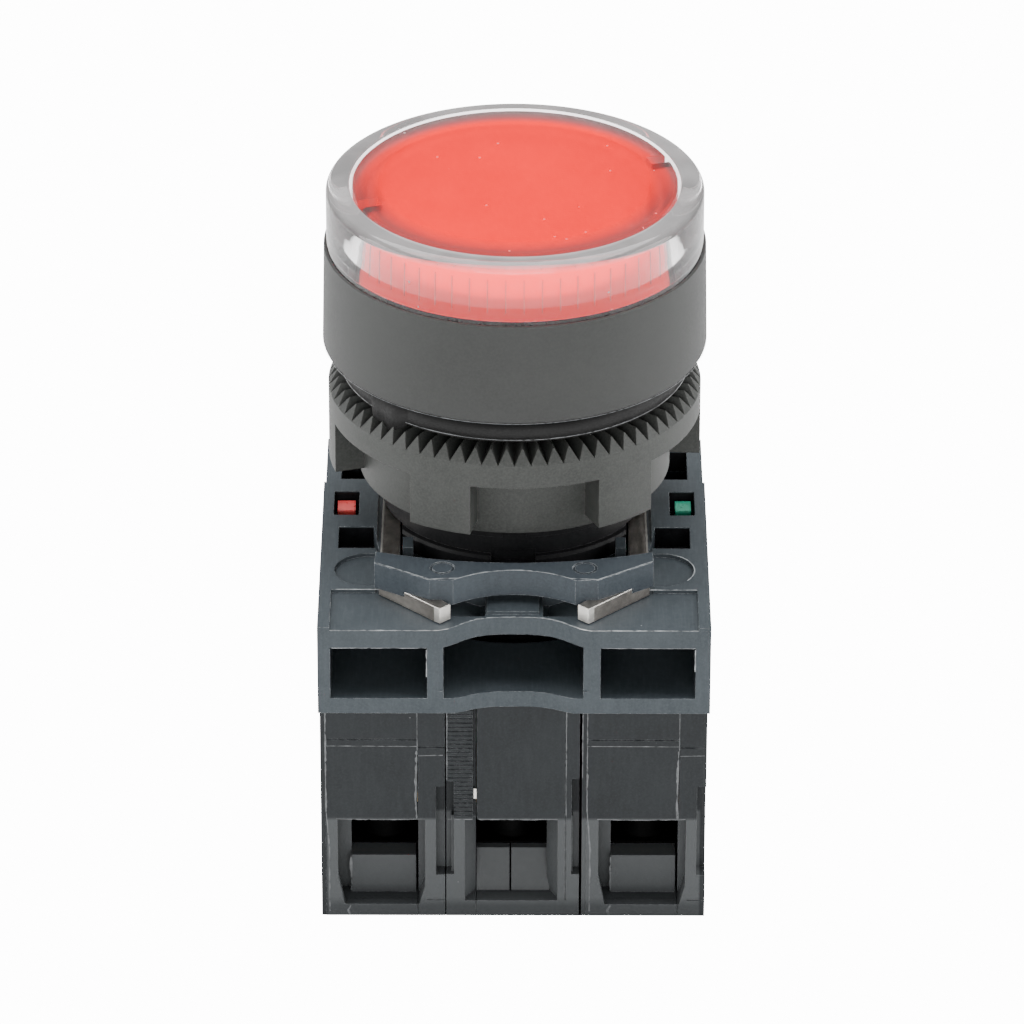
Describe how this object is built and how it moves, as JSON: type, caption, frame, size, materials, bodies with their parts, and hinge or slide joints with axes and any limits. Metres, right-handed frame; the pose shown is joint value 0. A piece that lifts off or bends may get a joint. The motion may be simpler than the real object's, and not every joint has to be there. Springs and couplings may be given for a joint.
{
  "type": "illuminated push button",
  "caption": "Illuminated flush push button with clear guard ring, toothed fixing nut, clip-on collar with lock lever, and contact and lamp blocks with screw terminals.",
  "frame": {"origin": "centre of the flat back of the three blocks, on the button's axis", "axes": "+Z along the button's axis towards the operator, -Y towards the lock lever, +X towards the normally open block"},
  "size_m": [0.03, 0.0392, 0.0565],
  "materials": {
    "black_plastic": "moulded, matte",
    "bezel_plastic": "moulded, satin dark grey",
    "clear_plastic": "clear moulded polycarbonate",
    "red_lens": "translucent red, smooth",
    "milky_plastic": "milky light diffuser",
    "spring_steel": "bright drawn wire",
    "gasket_rubber": "soft black",
    "grey_plastic": "glass-filled, bluish dark grey",
    "block_plastic": "glass-filled, near black",
    "plated_steel": "nickel plated, sheared ends",
    "brass_strip": "stamped strip",
    "board_laminate": "epoxy laminate",
    "resistor_ceramic": "glazed chip",
    "red_plastic": "moulded red",
    "green_plastic": "moulded green"
  },
  "bodies": {
    "base": {"head_body": "black_plastic", "bezel_ring": "bezel_plastic", "clear_guard_ring": "clear_plastic", "return_spring": "spring_steel", "panel_gasket": "gasket_rubber", "carrier_seal": "gasket_rubber", "mounting_collar": "grey_plastic", "nc_housing": "block_plastic", "nc_cover": "block_plastic", "nc_return_spring": "spring_steel", "nc_terminals": "brass_strip", "nc_clamps": "plated_steel", "nc_screws": "plated_steel", "no_housing": "block_plastic", "no_cover": "block_plastic", "no_return_spring": "spring_steel", "no_terminals": "brass_strip", "no_clamps": "plated_steel", "no_screws": "plated_steel", "lamp_housing": "block_plastic", "lamp_cover": "block_plastic", "lamp_board": "board_laminate", "lamp_led": "milky_plastic", "lamp_resistor": "resistor_ceramic", "lamp_terminals": "brass_strip", "lamp_clamps": "plated_steel", "lamp_screws": "plated_steel"},
    "button": {"lens_cap": "red_lens", "lens_diffuser": "milky_plastic", "push_carrier": "black_plastic"},
    "nc_pusher": {"nc_plunger": "red_plastic", "nc_bridge": "brass_strip", "nc_contact_spring": "spring_steel"},
    "no_pusher": {"no_plunger": "green_plastic", "no_bridge": "brass_strip", "no_contact_spring": "spring_steel"},
    "lock": {"lock_lever": "grey_plastic", "lock_wires": "plated_steel"},
    "nut": {"fixing_nut": "bezel_plastic"}
  },
  "joints": [
    {"name": "push_slide", "type": "slide", "parent": "base", "child": "button", "axis": [0, 0, -1], "range_m": [0, 0.004], "stiffness_N_per_m": 600, "springref_m": -0.003, "deforming": ["return_spring"]},
    {"name": "nc_slide", "type": "slide", "parent": "base", "child": "nc_pusher", "axis": [0, 0, -1], "range_m": [0, 0.004], "stiffness_N_per_m": 150, "springref_m": -0.003, "deforming": ["nc_return_spring"]},
    {"name": "no_slide", "type": "slide", "parent": "base", "child": "no_pusher", "axis": [0, 0, -1], "range_m": [0, 0.004], "stiffness_N_per_m": 150, "springref_m": -0.003, "deforming": ["no_return_spring"]},
    {"name": "lock_slide", "type": "slide", "parent": "base", "child": "lock", "axis": [0, -1, 0], "range_m": [0, 0.002], "stiffness_N_per_m": 1500, "springref_m": -0.001},
    {"name": "nut_turn", "type": "hinge", "parent": "base", "child": "nut", "pos_m": [0, 0, 0.037], "axis": [0, 0, 1], "continuous": true}
  ],
  "couplings": [
    {"joint": "nc_slide", "follows": "push_slide", "ratio": 1},
    {"joint": "no_slide", "follows": "push_slide", "ratio": 1}
  ]
}
